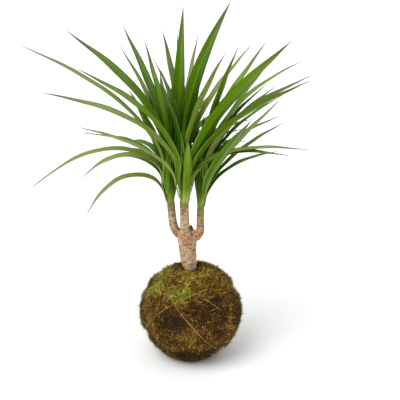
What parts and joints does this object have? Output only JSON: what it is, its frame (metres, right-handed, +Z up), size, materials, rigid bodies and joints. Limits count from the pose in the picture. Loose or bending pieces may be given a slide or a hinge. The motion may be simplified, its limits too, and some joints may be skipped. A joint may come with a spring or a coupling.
{
  "type": "kokedama moss ball plant",
  "caption": "Young dragon tree with crowns of long arching leaves on a short woody cane, growing from a soil ball wrapped in moss and bound with twine; rests on a small flat spot.",
  "frame": {"origin": "middle of the small flat spot that the moss ball rests on", "axes": "+Z up along the cane, +X to the right of the crown as the picture shows it, +Y towards its back"},
  "size_m": [0.281, 0.2053, 0.3869],
  "materials": {
    "soil": "damp crumbly soil",
    "moss": "fuzzy",
    "twine": "twisted natural fibre",
    "bark": "rough bark",
    "leaf": "satin"
  },
  "bodies": {
    "root": {"soil_core": "soil", "moss_cover": "moss", "twine": "twine", "cane": "bark", "leaves_left": "leaf", "leaves_middle": "leaf", "leaves_right": "leaf"}
  },
  "joints": []
}
